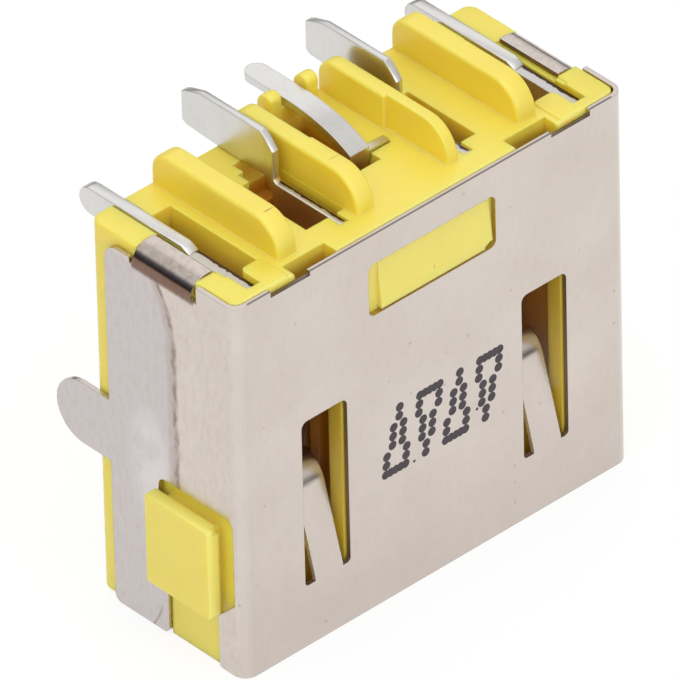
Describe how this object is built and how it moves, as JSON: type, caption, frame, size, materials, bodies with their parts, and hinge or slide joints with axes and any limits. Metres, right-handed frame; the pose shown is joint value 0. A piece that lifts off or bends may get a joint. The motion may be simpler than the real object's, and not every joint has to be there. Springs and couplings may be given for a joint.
{
  "type": "dc power jack",
  "caption": "Board-mounted dc power jack for a flat rectangular plug: yellow moulding with ribs in a folded plated shell.",
  "frame": {"origin": "under the middle of the whole part, on the plane of its mating face", "axes": "+X along the wide shell plate, +Y from that plate to the board side where the tails point, +Z from the mating face to the ribbed top"},
  "size_m": [0.016, 0.0076, 0.0144],
  "materials": {
    "yellow_moulding": "satin moulded",
    "nickel_plated_sheet": "satin nickel plating",
    "tin_plated_contact": "bright tin plating"
  },
  "bodies": {
    "root": {"housing": "yellow_moulding", "shield": "nickel_plated_sheet", "terminal_ground_left": "tin_plated_contact", "terminal_power_left": "tin_plated_contact", "terminal_sense": "tin_plated_contact", "terminal_power_right": "tin_plated_contact", "terminal_ground_right": "tin_plated_contact"}
  },
  "joints": []
}
